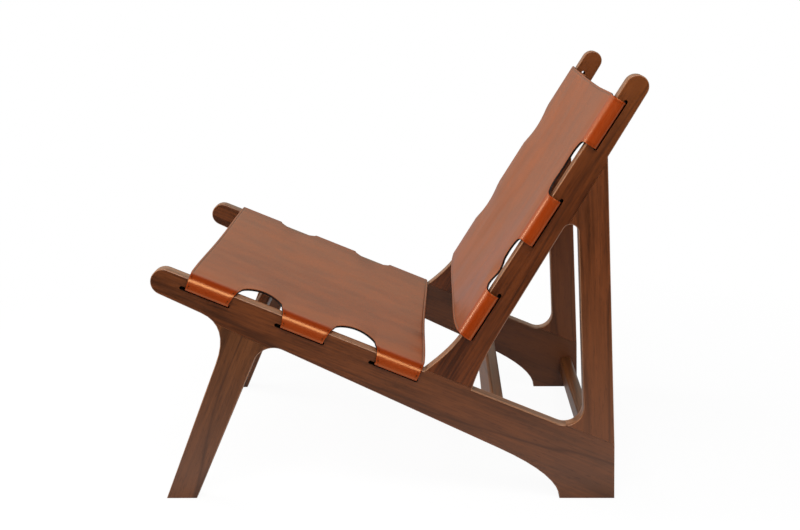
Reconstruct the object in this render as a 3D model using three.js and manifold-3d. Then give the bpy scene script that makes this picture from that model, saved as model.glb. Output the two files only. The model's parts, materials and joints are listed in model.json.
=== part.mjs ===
// A low lounge chair: two walnut side frames, three stretchers and two leather slings.
// Millimetres, +Z up. The chair faces -Y and the sitter's left hand is on +X.
// The side view is drawn in (u, v): u runs back from the tip of the seat rails, v is the height.
import * as THREE from 'three';
import { mergeVertices } from 'three/addons/utils/BufferGeometryUtils.js';
import Module from 'manifold-3d';

const wasm = await Module();
wasm.setup();

const degrees = THREE.MathUtils.degToRad;

// Whole chair
const FRAME_WIDTH = 628; // over the outer faces of the side frames
const BOARD = 28; // thickness of the side frames
const ARRIS = 2.5; // rounding of the frames' edges
const FIT = 0.3; // gap between pieces that touch

// Seat rail, a tapered board that starts in a round nose
const NOSE_HEIGHT = 379;
const NOSE_RADIUS = 22;
const SEAT_ANGLE = degrees(22.6); // fall of the upper edge towards the back
const UNDER_ANGLE = degrees(25.7); // fall of the lower edge

// Rear foot, which the seat rail's board runs down into
const HEEL = 767.5;
const HEEL_LEAN = degrees(1.2);
const REAR_FOOT = 92.5;
const ARCH_RUN = 113; // how far the arch before the rear foot reaches along the lower edge

// Front leg
const LEG_TOE = 8;
const LEG_FOOT = 51.5;
const LEG_FRONT_LEAN = degrees(21.45);
const LEG_REAR_LEAN = degrees(23.7);
const LEG_FRONT_SWEEP_RAIL = 51; // the sweep before the leg, along the rail and down the leg
const LEG_FRONT_SWEEP_LEG = 69;
const LEG_REAR_FILLET = 35;
const LEG_JOINT_DROP = 6; // the leg's joint lies this far below the rail's edge

// Back rail, which stands on the seat rail and ends in a round top
const BACK_TOP_RUN = 786;
const BACK_TOP_HEIGHT = 690;
const BACK_TOP_RADIUS = 19;
const BACK_FRONT_LEAN = degrees(32.1);
const BACK_REAR_LEAN = degrees(30.6);
const BACK_TOE_REACH = 20.5; // how far the foot swells forward along the seat rail
const BACK_TOE_ANGLE = degrees(37);
const BACK_TOE_CURVE = 33; // how far that swelling runs up the front edge past its bend
const BACK_HEEL_REACH = 11.5; // the same, behind the rail
const BACK_HEEL_ANGLE = degrees(75);
const BACK_HEEL_CURVE = 82;

// Rear post, from the rear foot up to the back rail
const POST_LEAN = degrees(2.65);
const POST_WIDTH = 50;
const POST_FOOT_FILLET = 30;
const POST_TOP_FILLET = 13;
const JOINT_STAND = 3; // the post's and back rail's joints lie this far off the rail edges

// Stretchers, one section for all three
const BAR_THICKNESS = 24;
const BAR_HEIGHT = 40;
const BAR_ARRIS = 6;
const FRONT_BAR_DROP = 55; // from the leg's joint down the leg to the bar's centre
const FRONT_BAR_ADVANCE = 5; // from the leg's middle to the bar's centre
const MIDDLE_BAR_RUN = 591; // along the seat rail's upper edge to the bar's centre
const MIDDLE_BAR_DROP = 28; // from that edge to the bar's centre
const REAR_BAR_INSET = 24; // from the heel's edge to the bar's centre
const REAR_BAR_SHARE = 0.5; // height of the bar's centre, as a share of the rear foot's

// Slings
const LEATHER = 3.6;
const SEAT_SAG = 5;
const BACK_SAG = 14;
const SEAT_START = 38; // from the nose to the first tab, along the rail
const SEAT_END_GAP = 6; // from the last tab to the back rail's toe
const SEAT_TAB = 75;
const BACK_START = 31;
const BACK_END_GAP = 2; // from the last tab to the curve of the back rail's toe
const BACK_TAB = 85;
const TABS = 3; // on each side of a sling
const ROLL_RADIUS = 5.5; // inside of the roll over the rail
const ROLL_STAND = 1.2; // how far the roll stands off the wood
const SLOT_BEND = 1.4; // inside of the bend into the slot
const SEAT_SCALLOP = 48; // depth of the scallops between the tabs, in from the frame's outer face
const BACK_SCALLOP = 30;
const SEAT_SLOT_DEPTH = 16.25; // from the rail's edge to the slot
const BACK_SLOT_DEPTH = 13.25;
const SLOT_WIDTH = 6.5;
const SEAT_SLOT_LEAD = 10.5; // slot left open before the tab and after it
const SEAT_SLOT_TAIL = 2.5;
const BACK_SLOT_LEAD = 5;
const BACK_SLOT_TAIL = 2.5;
const ROD_RADIUS = 4; // rods in the hems
const ROD_INSET = 2; // from the end of a hem to the end of its rod

// Loose tenons and dowels
const TENON_THICKNESS = 10;
const TENON_WIDTH = 36;
const TENON_DEPTH = 18; // in each of the two pieces
const POST_TENON_PLACE = 0.66; // along the post's top joint, from its thin end
const DOWEL_RADIUS = 5;
const DOWEL_SPACING = 20;
const DOWEL_DEPTH = 18;
const GLUE_SPACE = 0.6; // past the end of a tenon or a dowel

// Faceting
const ARC_STEPS = 8;
const SPAN_STEPS = 7; // half of a sling's span
const ROLL_STEPS = 5;
const HEM_STEPS = 14;
const SCALLOP_STEPS = 12;
const BEVEL_STEPS = 2;
const ROUND_SIDES = 16;
const REACH = 2000; // larger than the chair, for saw blocks

const OUTER_FACE = FRAME_WIDTH / 2;
const INNER_FACE = OUTER_FACE - BOARD;
const DEPTH = BACK_TOP_RUN + BACK_TOP_RADIUS;

const walnut = new THREE.MeshStandardMaterial({ color: 0x6b4329, roughness: 0.45, metalness: 0 });
const beech = new THREE.MeshStandardMaterial({ color: 0xc9a475, roughness: 0.6, metalness: 0 });
const leather = new THREE.MeshStandardMaterial({ color: 0xa8562f, roughness: 0.42, metalness: 0 });

const chair = new THREE.Group();
chair.name = 'sling_lounge_chair';
chair.position.y = -DEPTH / 2;

const add = (name, geometry, material) => {
  const mesh = new THREE.Mesh(geometry, material);
  mesh.name = name;
  chair.add(mesh);
};

// Closed solids for cutting and joining

const solid = (geometry) => {
  const bare = geometry.clone();
  bare.deleteAttribute('normal');
  bare.deleteAttribute('uv');
  const merged = mergeVertices(bare, 1e-4);
  return new wasm.Manifold(new wasm.Mesh({
    numProp: 3,
    vertProperties: new Float32Array(merged.attributes.position.array),
    triVerts: new Uint32Array(merged.index.array),
  }));
};

const surface = (body) => {
  const mesh = body.getMesh();
  const geometry = new THREE.BufferGeometry();
  geometry.setAttribute('position', new THREE.BufferAttribute(mesh.vertProperties, 3));
  geometry.setIndex(new THREE.BufferAttribute(mesh.triVerts, 1));
  geometry.computeVertexNormals();
  return geometry;
};

// Plane geometry in the side view

const point = (u, v) => new THREE.Vector2(u, v);
const along = (start, direction, distance) => start.clone().addScaledVector(direction, distance);
const at = (line, distance) => along(line.start, line.direction, distance);

// Where two lines, each a start and a direction, cross
const crossing = (a, b) => {
  const gap = b.start.clone().sub(a.start);
  return at(a, gap.cross(b.direction) / a.direction.cross(b.direction));
};

const atHeight = (line, v) => at(line, (v - line.start.y) / line.direction.y);

// A round fillet in a path: a line up to the corner's arc, and the arc
const fillet = (path, corner, before, after, radius) => {
  const half = before.angleTo(after) / 2;
  const run = radius * Math.tan(half);
  const first = along(corner, before, -run);
  const turn = Math.sign(before.cross(after));
  const inward = point(-before.y, before.x).multiplyScalar(turn);
  const centre = along(first, inward, radius);
  const startAngle = inward.clone().negate().angle();
  path.lineTo(first.x, first.y);
  path.absarc(centre.x, centre.y, radius, startAngle, startAngle + 2 * half * turn, turn < 0);
};

// The edges of the side frame

const nose = point(NOSE_RADIUS, NOSE_HEIGHT);
const seatOut = point(Math.sin(SEAT_ANGLE), Math.cos(SEAT_ANGLE));
const underOut = point(-Math.sin(UNDER_ANGLE), -Math.cos(UNDER_ANGLE));
const seatEdge = {
  start: along(nose, seatOut, NOSE_RADIUS),
  direction: point(Math.cos(SEAT_ANGLE), -Math.sin(SEAT_ANGLE)),
};
const underEdge = {
  start: along(nose, underOut, NOSE_RADIUS),
  direction: point(Math.cos(UNDER_ANGLE), -Math.sin(UNDER_ANGLE)),
};
const backTop = point(BACK_TOP_RUN, BACK_TOP_HEIGHT);
const backFrontOut = point(-Math.cos(BACK_FRONT_LEAN), Math.sin(BACK_FRONT_LEAN));
const backRearOut = point(Math.cos(BACK_REAR_LEAN), -Math.sin(BACK_REAR_LEAN));
const backFront = {
  start: along(backTop, backFrontOut, BACK_TOP_RADIUS),
  direction: point(-Math.sin(BACK_FRONT_LEAN), -Math.cos(BACK_FRONT_LEAN)),
};
const backRear = {
  start: along(backTop, backRearOut, BACK_TOP_RADIUS),
  direction: point(-Math.sin(BACK_REAR_LEAN), -Math.cos(BACK_REAR_LEAN)),
};
const legFront = {
  start: point(LEG_TOE, 0),
  direction: point(Math.sin(LEG_FRONT_LEAN), Math.cos(LEG_FRONT_LEAN)),
};
const legRear = {
  start: point(LEG_TOE + LEG_FOOT, 0),
  direction: point(Math.sin(LEG_REAR_LEAN), Math.cos(LEG_REAR_LEAN)),
};
const heelEdge = { start: point(HEEL, 0), direction: point(-Math.sin(HEEL_LEAN), Math.cos(HEEL_LEAN)) };
const postFoot = crossing(heelEdge, seatEdge);
const postUp = point(-Math.sin(POST_LEAN), Math.cos(POST_LEAN));
const postRear = { start: postFoot, direction: postUp };
const postFront = { start: point(postFoot.x - POST_WIDTH, postFoot.y), direction: postUp };
const instep = { start: point(HEEL - REAR_FOOT, 0), direction: point(0, 1) };

const runOnSeat = (place) => place.distanceTo(seatEdge.start);
const backToeRun = runOnSeat(crossing(seatEdge, backFront)) - BACK_TOE_REACH;
const backHeelRun = runOnSeat(crossing(seatEdge, backRear)) + BACK_HEEL_REACH;
const backToe = at(seatEdge, backToeRun);
const backHeel = at(seatEdge, backHeelRun);
const rising = (start, angle) => ({ start, direction: point(Math.cos(angle), Math.sin(angle)) });
const toeBend = crossing(backFront, rising(backToe, BACK_TOE_ANGLE));
const toeCurve = along(toeBend, backFront.direction, -BACK_TOE_CURVE);
const heelBend = crossing(backRear, rising(backHeel, BACK_HEEL_ANGLE));
const heelCurve = along(heelBend, backRear.direction, -BACK_HEEL_CURVE);
const crotch = crossing(postFront, backRear);
const openingCorner = crossing(seatEdge, postFront);

// The outline of a whole side frame, and the triangle between its rails and post

const frameOutline = () => {
  const legFrontCorner = crossing(underEdge, legFront);
  const legRearCorner = crossing(underEdge, legRear);
  const archCorner = crossing(underEdge, instep);
  const postTop = crossing(postRear, backRear);
  const sweepStart = along(legFrontCorner, underEdge.direction, -LEG_FRONT_SWEEP_RAIL);
  const sweepEnd = along(legFrontCorner, legFront.direction, -LEG_FRONT_SWEEP_LEG);
  const archStart = along(archCorner, underEdge.direction, -ARCH_RUN);

  const outline = new THREE.Shape();
  outline.moveTo(instep.start.x, 0);
  outline.lineTo(HEEL, 0);
  outline.lineTo(postFoot.x, postFoot.y);
  outline.lineTo(postTop.x, postTop.y);
  outline.lineTo(backRear.start.x, backRear.start.y);
  outline.absarc(backTop.x, backTop.y, BACK_TOP_RADIUS, -BACK_REAR_LEAN, Math.PI - BACK_FRONT_LEAN, false);
  outline.lineTo(toeCurve.x, toeCurve.y);
  outline.quadraticCurveTo(toeBend.x, toeBend.y, backToe.x, backToe.y);
  outline.lineTo(seatEdge.start.x, seatEdge.start.y);
  outline.absarc(nose.x, nose.y, NOSE_RADIUS, Math.PI / 2 - SEAT_ANGLE, 1.5 * Math.PI - UNDER_ANGLE, false);
  outline.lineTo(sweepStart.x, sweepStart.y);
  outline.quadraticCurveTo(legFrontCorner.x, legFrontCorner.y, sweepEnd.x, sweepEnd.y);
  outline.lineTo(LEG_TOE, 0);
  outline.lineTo(LEG_TOE + LEG_FOOT, 0);
  fillet(outline, legRearCorner, legRear.direction, underEdge.direction, LEG_REAR_FILLET);
  outline.lineTo(archStart.x, archStart.y);
  outline.quadraticCurveTo(archCorner.x, archCorner.y, instep.start.x, 0);
  return outline;
};

const triangleOpening = () => {
  const opening = new THREE.Path();
  opening.moveTo(backHeel.x, backHeel.y);
  fillet(opening, openingCorner, seatEdge.direction, postUp, POST_FOOT_FILLET);
  fillet(opening, crotch, postUp, backRear.direction, POST_TOP_FILLET);
  opening.lineTo(heelCurve.x, heelCurve.y);
  opening.quadraticCurveTo(heelBend.x, heelBend.y, backHeel.x, backHeel.y);
  return opening;
};

// A side-view shape given a thickness across the chair, from x = from to x = to
const sideBasis = new THREE.Matrix4().makeBasis(
  new THREE.Vector3(0, 1, 0), new THREE.Vector3(0, 0, 1), new THREE.Vector3(1, 0, 0));

const sideExtrude = (shape, from, to, bevel = 0) => {
  const geometry = new THREE.ExtrudeGeometry(shape, {
    depth: to - from - 2 * bevel,
    curveSegments: ARC_STEPS,
    bevelEnabled: bevel > 0,
    bevelThickness: bevel,
    bevelSize: bevel,
    bevelOffset: -bevel,
    bevelSegments: BEVEL_STEPS,
  });
  geometry.translate(0, 0, from + bevel);
  return geometry.applyMatrix4(sideBasis);
};

const polygon = (points) => new THREE.Shape(points);

// A block for sawing: everything beyond a line moved out by an offset, between two places along it
const sawBlock = (line, outward, offset, first, last) => {
  const corners = [
    along(at(line, first), outward, offset),
    along(at(line, last), outward, offset),
    along(at(line, last), outward, offset + REACH),
    along(at(line, first), outward, offset + REACH),
  ];
  return solid(sideExtrude(polygon(corners), -FRAME_WIDTH, FRAME_WIDTH));
};

// The post is all that lies behind the back rail's joint, parted from it inside the opening
const postBlock = (offset) => {
  const middle = (backHeel.x + openingCorner.x - POST_FOOT_FILLET) / 2;
  const joint = { start: along(backRear.start, backRearOut, offset), direction: backRear.direction };
  const jointLow = crossing(joint, { start: point(middle, 0), direction: point(0, 1) });
  const jointHigh = along(jointLow, joint.direction, -REACH);
  const corners = [
    point(middle, 0), jointLow, jointHigh, point(jointHigh.x + REACH, jointHigh.y), point(middle + REACH, 0),
  ];
  return solid(sideExtrude(polygon(corners), -FRAME_WIDTH, FRAME_WIDTH));
};

// Axes that follow an edge of the side frame: along it, out of it, and across the chair
const edgeAxes = (line, outward) => {
  const run = new THREE.Vector3(0, line.direction.x, line.direction.y);
  const out = new THREE.Vector3(0, outward.x, outward.y);
  return {
    origin: new THREE.Vector3(0, line.start.x, line.start.y),
    run,
    out,
    across: out.clone().cross(run),
  };
};

const seatAxes = edgeAxes(seatEdge, seatOut);
const backAxes = edgeAxes(backFront, backFrontOut);

const seatLength = backToeRun - SEAT_END_GAP - SEAT_START;
const backLength = toeCurve.distanceTo(backFront.start) - BACK_END_GAP - BACK_START;

const seat = {
  name: 'seat',
  axes: seatAxes,
  start: SEAT_START,
  length: seatLength,
  tab: SEAT_TAB,
  pitch: (seatLength - SEAT_TAB) / (TABS - 1),
  sag: SEAT_SAG,
  scallop: SEAT_SCALLOP,
  slotDepth: SEAT_SLOT_DEPTH,
  slotLead: SEAT_SLOT_LEAD,
  slotTail: SEAT_SLOT_TAIL,
};
const back = {
  name: 'back',
  axes: backAxes,
  start: BACK_START,
  length: backLength,
  tab: BACK_TAB,
  pitch: (backLength - BACK_TAB) / (TABS - 1),
  sag: BACK_SAG,
  scallop: BACK_SCALLOP,
  slotDepth: BACK_SLOT_DEPTH,
  slotLead: BACK_SLOT_LEAD,
  slotTail: BACK_SLOT_TAIL,
};

const tabStart = (sling, index) => sling.start + index * sling.pitch;

const basis = (x, y, z, origin) => new THREE.Matrix4().makeBasis(x, y, z).setPosition(origin);

// A long hole with round ends, for the slots and the tenons
const stadium = (length, width) => {
  const half = (length - width) / 2;
  const shape = new THREE.Shape();
  shape.absarc(half, 0, width / 2, -Math.PI / 2, Math.PI / 2, false);
  shape.absarc(-half, 0, width / 2, Math.PI / 2, 1.5 * Math.PI, false);
  return shape;
};

const slotBody = (sling, index, side) => {
  const { run, out, across, origin } = sling.axes;
  const length = sling.tab + sling.slotLead + sling.slotTail;
  const centre = tabStart(sling, index) - sling.slotLead + length / 2;
  const depth = 2 * BOARD;
  const geometry = new THREE.ExtrudeGeometry(stadium(length, SLOT_WIDTH), {
    depth, bevelEnabled: false, curveSegments: ARC_STEPS / 2,
  });
  geometry.translate(centre, -sling.slotDepth - SLOT_WIDTH / 2, -depth / 2);
  geometry.applyMatrix4(basis(run, out, across.clone().negate(), origin));
  geometry.translate(side * (INNER_FACE + BOARD / 2), 0, 0);
  return solid(geometry);
};

// A loose tenon, or with a gap its mortise, at a place on a joint
const tenonShape = (joint, side, gap) => {
  const direction = new THREE.Vector3(0, joint.direction.x, joint.direction.y);
  const acrossChair = new THREE.Vector3(1, 0, 0);
  const through = direction.clone().cross(acrossChair);
  const length = 2 * (TENON_DEPTH + (gap > 0 ? GLUE_SPACE : 0));
  const geometry = new THREE.ExtrudeGeometry(stadium(TENON_WIDTH + 2 * gap, TENON_THICKNESS + 2 * gap), {
    depth: length, bevelEnabled: false, curveSegments: ARC_STEPS / 2,
  });
  geometry.translate(0, 0, -length / 2);
  const centre = new THREE.Vector3(side * (INNER_FACE + BOARD / 2), joint.centre.x, joint.centre.y);
  return geometry.applyMatrix4(basis(direction, acrossChair, through, centre));
};

const legJointEdge = { start: along(underEdge.start, underOut, LEG_JOINT_DROP), direction: underEdge.direction };
const legJointCentre = crossing(legFront, legJointEdge).add(crossing(legRear, legJointEdge)).multiplyScalar(0.5);
const seatJoint = (run) => along(at(seatEdge, run), seatOut, JOINT_STAND);
const postJointMiddle = (runOnSeat(openingCorner) + runOnSeat(postFoot)) / 2;
const postTopTenon = crossing(postRear, backRear).lerp(crotch, POST_TENON_PLACE);

const frameJoints = [
  { name: 'leg_tenon', centre: legJointCentre, direction: underEdge.direction },
  {
    name: 'back_foot_tenon',
    centre: seatJoint((backToeRun + backHeelRun) / 2),
    direction: seatEdge.direction,
  },
  { name: 'post_foot_tenon', centre: seatJoint(postJointMiddle), direction: seatEdge.direction },
  {
    name: 'post_top_tenon',
    centre: along(postTopTenon, backRearOut, JOINT_STAND),
    direction: backRear.direction,
  },
];

// Where the stretchers lie in the side view: a centre, and the direction of the section's height

const legUp = legFront.direction.clone().add(legRear.direction).normalize();
const legForward = point(-legUp.y, legUp.x);
const heelAtBar = atHeight(heelEdge, postFoot.y * REAR_BAR_SHARE);
const stretchers = [
  {
    name: 'front_stretcher',
    centre: along(along(legJointCentre, legUp, -FRONT_BAR_DROP), legForward, FRONT_BAR_ADVANCE),
    up: legUp,
  },
  {
    name: 'middle_stretcher',
    centre: along(at(seatEdge, MIDDLE_BAR_RUN), seatOut, -MIDDLE_BAR_DROP),
    up: seatOut,
  },
  {
    name: 'rear_stretcher',
    centre: point(heelAtBar.x - REAR_BAR_INSET, heelAtBar.y),
    up: heelEdge.direction,
  },
];

const roundedRectangle = (width, height, radius) => {
  const right = width / 2 - radius;
  const top = height / 2 - radius;
  const shape = new THREE.Shape();
  shape.absarc(right, top, radius, 0, Math.PI / 2, false);
  shape.absarc(-right, top, radius, Math.PI / 2, Math.PI, false);
  shape.absarc(-right, -top, radius, Math.PI, 1.5 * Math.PI, false);
  shape.absarc(right, -top, radius, 1.5 * Math.PI, 2 * Math.PI, false);
  return shape;
};

const barBody = (bar) => {
  const up = new THREE.Vector3(0, bar.up.x, bar.up.y);
  const acrossChair = new THREE.Vector3(1, 0, 0);
  const front = up.clone().cross(acrossChair);
  const length = 2 * (INNER_FACE - FIT);
  const geometry = new THREE.ExtrudeGeometry(roundedRectangle(BAR_THICKNESS, BAR_HEIGHT, BAR_ARRIS), {
    depth: length, bevelEnabled: false, curveSegments: BEVEL_STEPS,
  });
  geometry.translate(0, 0, -length / 2);
  const centre = new THREE.Vector3(0, bar.centre.x, bar.centre.y);
  return solid(geometry.applyMatrix4(basis(front, up, acrossChair, centre)));
};

// A dowel, or with a gap its hole, at one end of a stretcher
const dowelShape = (bar, index, side, gap) => {
  const length = 2 * (DOWEL_DEPTH + (gap > 0 ? GLUE_SPACE : 0));
  const geometry = new THREE.CylinderGeometry(DOWEL_RADIUS + gap, DOWEL_RADIUS + gap, length, ROUND_SIDES);
  geometry.rotateZ(Math.PI / 2);
  const centre = along(bar.centre, bar.up, (index - 0.5) * DOWEL_SPACING);
  return geometry.translate(side * INNER_FACE, centre.x, centre.y);
};

const DOWELS = [0, 1];
const SIDES = [{ name: 'left', sign: 1 }, { name: 'right', sign: -1 }];
const TAB_INDEXES = [...Array(TABS).keys()];

// A side frame is shaped whole, slotted and bored, then sawn along its joints into four members
const buildFrame = (side) => {
  const outline = frameOutline();
  outline.holes.push(triangleOpening());
  const edge = side.sign > 0 ? INNER_FACE : -OUTER_FACE;
  let frame = solid(sideExtrude(outline, edge, edge + BOARD, ARRIS));
  for (const sling of [seat, back]) {
    for (const index of TAB_INDEXES) frame = frame.subtract(slotBody(sling, index, side.sign));
  }
  for (const joint of frameJoints) frame = frame.subtract(solid(tenonShape(joint, side.sign, FIT)));
  for (const bar of stretchers) {
    for (const index of DOWELS) frame = frame.subtract(solid(dowelShape(bar, index, side.sign, FIT)));
  }

  const half = FIT / 2;
  const archReach = crossing(underEdge, instep).distanceTo(underEdge.start) - ARCH_RUN;
  const above = (offset) => sawBlock(seatEdge, seatOut, offset, -REACH, REACH);
  const below = (offset) => sawBlock(underEdge, underOut, offset, -REACH, archReach);
  const upper = frame.intersect(above(JOINT_STAND + half));
  const lower = frame.subtract(above(JOINT_STAND - half));
  add(`${side.name}_seat_rail`, surface(lower.subtract(below(LEG_JOINT_DROP - half))), walnut);
  add(`${side.name}_front_leg`, surface(lower.intersect(below(LEG_JOINT_DROP + half))), walnut);
  add(`${side.name}_back_rail`, surface(upper.subtract(postBlock(JOINT_STAND - half))), walnut);
  add(`${side.name}_rear_post`, surface(upper.intersect(postBlock(JOINT_STAND + half))), walnut);
  for (const joint of frameJoints) {
    add(`${side.name}_${joint.name}`, tenonShape(joint, side.sign, 0), beech);
  }
};

// A stretcher with its dowel holes, and its dowels
const buildStretcher = (bar) => {
  let body = barBody(bar);
  for (const side of SIDES) {
    for (const index of DOWELS) body = body.subtract(solid(dowelShape(bar, index, side.sign, FIT)));
  }
  add(bar.name, surface(body), walnut);
  for (const side of SIDES) {
    for (const index of DOWELS) {
      add(`${bar.name}_${side.name}_dowel_${index + 1}`, dowelShape(bar, index, side.sign, 0), beech);
    }
  }
};

// The hem of a tab closes round its rod on the inner face of the rail
const HEM_RADIUS = ROD_RADIUS + FIT + LEATHER;
const hemCentre = (sling) => point(INNER_FACE - FIT - HEM_RADIUS, -sling.slotDepth - FIT - LEATHER / 2);

const arcPoints = (centre, radius, from, to, steps) => {
  const points = [];
  for (let step = 0; step <= steps; step += 1) {
    const angle = from + (to - from) * step / steps;
    points.push(along(centre, point(Math.cos(angle), Math.sin(angle)), radius));
  }
  return points;
};

// One half of a sling's section, from the chair's middle over the rail, through the slot and round the hem.
// x runs out from the middle and y stands on the rail's edge.
const slingHalf = (sling) => {
  const rollCentre = point(OUTER_FACE + ROLL_STAND - ROLL_RADIUS, ROLL_STAND - ROLL_RADIUS);
  const bendCentre = point(OUTER_FACE + ROLL_STAND - SLOT_BEND, SLOT_BEND - sling.slotDepth - FIT);
  const hem = hemCentre(sling);
  const neck = Math.asin(LEATHER / 2 / HEM_RADIUS);
  const rest = INNER_FACE + ARRIS;
  const span = (lift) => [...Array(SPAN_STEPS + 1).keys()].map((step) => {
    const x = rest * step / SPAN_STEPS;
    return point(x, FIT + lift - sling.sag * (1 - (x / rest) ** 2));
  });
  const quarter = Math.PI / 2;
  return [
    ...span(LEATHER),
    ...arcPoints(rollCentre, ROLL_RADIUS + LEATHER, quarter, 0, ROLL_STEPS),
    ...arcPoints(bendCentre, SLOT_BEND + LEATHER, 0, -quarter, ROLL_STEPS),
    ...arcPoints(hem, HEM_RADIUS, -neck, neck - 2 * Math.PI, HEM_STEPS),
    ...arcPoints(bendCentre, SLOT_BEND, -quarter, 0, BEVEL_STEPS),
    ...arcPoints(rollCentre, ROLL_RADIUS, 0, quarter, ROLL_STEPS),
    ...span(0).reverse(),
  ];
};

const slingSection = (sling) => {
  const half = slingHalf(sling);
  const mirrored = half.slice(1, -1).reverse().map((p) => point(-p.x, p.y));
  const section = polygon([...half, ...mirrored]);
  const hem = hemCentre(sling);
  for (const { sign } of SIDES) {
    const bore = new THREE.Path();
    bore.absarc(sign * hem.x, hem.y, ROD_RADIUS + FIT, 0, 2 * Math.PI, false);
    section.holes.push(bore);
  }
  return section;
};

// What is cut away between two tabs: a scallop in the panel, and the leather between the tabs' hems
const scallopBodies = (sling, index, side) => {
  const { run, out, across, origin } = sling.axes;
  const middle = tabStart(sling, index) + (sling.pitch + sling.tab) / 2;
  const half = (sling.pitch - sling.tab) / 2;
  const past = OUTER_FACE + BOARD;
  const hem = hemCentre(sling);
  const hemTop = hem.y + HEM_RADIUS + FIT;
  const hemFloor = hem.y - HEM_RADIUS - FIT;
  const sideSign = side * Math.sign(across.x);

  const scallop = new THREE.Shape();
  scallop.moveTo(middle - half, sideSign * past);
  scallop.lineTo(middle - half, sideSign * OUTER_FACE);
  scallop.absellipse(middle, sideSign * OUTER_FACE, half, sling.scallop, Math.PI, 0, sideSign < 0);
  scallop.lineTo(middle + half, sideSign * past);
  const panelCut = new THREE.ExtrudeGeometry(scallop, {
    depth: 3 * LEATHER - hemFloor, bevelEnabled: false, curveSegments: SCALLOP_STEPS,
  });
  panelCut.translate(0, 0, hemFloor);
  panelCut.applyMatrix4(basis(run, across, out, origin));

  const hemStart = hem.x - HEM_RADIUS - FIT;
  const hemCut = new THREE.BoxGeometry(2 * half, past - hemStart, hemTop - hemFloor);
  hemCut.translate(middle, sideSign * (past + hemStart) / 2, (hemTop + hemFloor) / 2);
  hemCut.applyMatrix4(basis(run, across, out, origin));
  return [solid(panelCut), solid(hemCut)];
};

const buildSling = (sling) => {
  const { run, out, across, origin } = sling.axes;
  const geometry = new THREE.ExtrudeGeometry(slingSection(sling), {
    depth: sling.length, bevelEnabled: false, curveSegments: ARC_STEPS,
  });
  geometry.translate(0, 0, sling.start);
  geometry.applyMatrix4(basis(across, out, run, origin));
  let body = solid(geometry);
  for (const { sign } of SIDES) {
    for (const index of TAB_INDEXES.slice(0, -1)) {
      for (const cut of scallopBodies(sling, index, sign)) body = body.subtract(cut);
    }
  }
  add(`${sling.name}_sling`, surface(body), leather);

  const hem = hemCentre(sling);
  for (const side of SIDES) {
    for (const index of TAB_INDEXES) {
      const rod = new THREE.CylinderGeometry(ROD_RADIUS, ROD_RADIUS, sling.tab - 2 * ROD_INSET, ROUND_SIDES);
      const centre = origin.clone()
        .addScaledVector(run, tabStart(sling, index) + sling.tab / 2)
        .addScaledVector(out, hem.y);
      centre.x = side.sign * hem.x;
      rod.applyMatrix4(basis(out, run, across, centre));
      add(`${side.name}_${sling.name}_rod_${index + 1}`, rod, beech);
    }
  }
};

for (const side of SIDES) buildFrame(side);
for (const bar of stretchers) buildStretcher(bar);
buildSling(seat);
buildSling(back);

export default chair;
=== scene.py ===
# %% [markdown]
# # A leather sling lounge chair
# Two flat walnut side frames, joined by three bars, carry two slings of thick saddle leather. The packed
# model already holds every piece in its place, in metres, with the floor at zero and the chair facing -Y.
# Modelling the chair again from nothing would let it drift from those places, so this lesson keeps them
# and gives each piece the shape and finish of the real material.

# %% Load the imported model
import json
import math

import bmesh
import bpy
from mathutils import Matrix, Vector

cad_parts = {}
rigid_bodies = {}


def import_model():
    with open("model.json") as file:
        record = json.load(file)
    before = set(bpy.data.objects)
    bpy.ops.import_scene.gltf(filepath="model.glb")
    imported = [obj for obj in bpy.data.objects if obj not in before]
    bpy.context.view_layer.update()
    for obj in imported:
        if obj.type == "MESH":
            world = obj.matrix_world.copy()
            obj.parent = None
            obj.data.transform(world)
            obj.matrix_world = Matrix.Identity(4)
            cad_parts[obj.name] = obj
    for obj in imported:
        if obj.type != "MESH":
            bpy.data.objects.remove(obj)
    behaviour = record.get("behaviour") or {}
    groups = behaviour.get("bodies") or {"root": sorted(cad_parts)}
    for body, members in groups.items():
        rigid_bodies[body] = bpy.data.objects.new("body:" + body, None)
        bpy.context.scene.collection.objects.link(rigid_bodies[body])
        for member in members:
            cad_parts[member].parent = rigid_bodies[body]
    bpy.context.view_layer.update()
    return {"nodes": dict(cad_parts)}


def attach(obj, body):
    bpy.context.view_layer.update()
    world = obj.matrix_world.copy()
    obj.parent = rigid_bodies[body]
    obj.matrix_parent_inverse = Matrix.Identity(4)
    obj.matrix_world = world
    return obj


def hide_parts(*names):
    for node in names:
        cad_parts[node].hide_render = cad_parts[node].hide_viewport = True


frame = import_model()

MM = 0.001
print(len(frame["nodes"]), "pieces in the packed model")

# %% [markdown]
# ## Camera
# The photograph was taken from the sitter's left, a little above the seat, with a normal lens. A camera can
# be placed by eye, but straight and parallel edges fix its place and turn far better, and the side frames
# have many of them. The numbers below were worked out from those edges.

# %% Place the camera
YAW = math.radians(-1.763)
PITCH = math.radians(12.861)
ROLL = math.radians(-0.704)
CAMERA_PLACE = (2.3541, 0.0708, 0.8720)
FOCAL_LENGTH = 58.01  # millimetres, on a sensor 36 mm wide

look = Vector((-math.cos(PITCH) * math.cos(YAW), math.cos(PITCH) * math.sin(YAW), -math.sin(PITCH)))
level = Vector((math.sin(YAW), math.cos(YAW), 0.0))
upright = level.cross(look)
camera_right = level * math.cos(ROLL) + upright * math.sin(ROLL)
camera_up = upright * math.cos(ROLL) - level * math.sin(ROLL)

lens = bpy.data.cameras.new("camera")
lens.sensor_fit = "HORIZONTAL"
lens.sensor_width = 36.0
lens.lens = FOCAL_LENGTH
camera = bpy.data.objects.new("camera", lens)
turn = Matrix((camera_right, camera_up, -look)).transposed().to_4x4()
camera.matrix_world = Matrix.Translation(CAMERA_PLACE) @ turn
bpy.context.collection.objects.link(camera)
bpy.context.scene.camera = camera
print("camera at", [round(v, 3) for v in camera.location], "looking along", [round(v, 3) for v in look])

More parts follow.
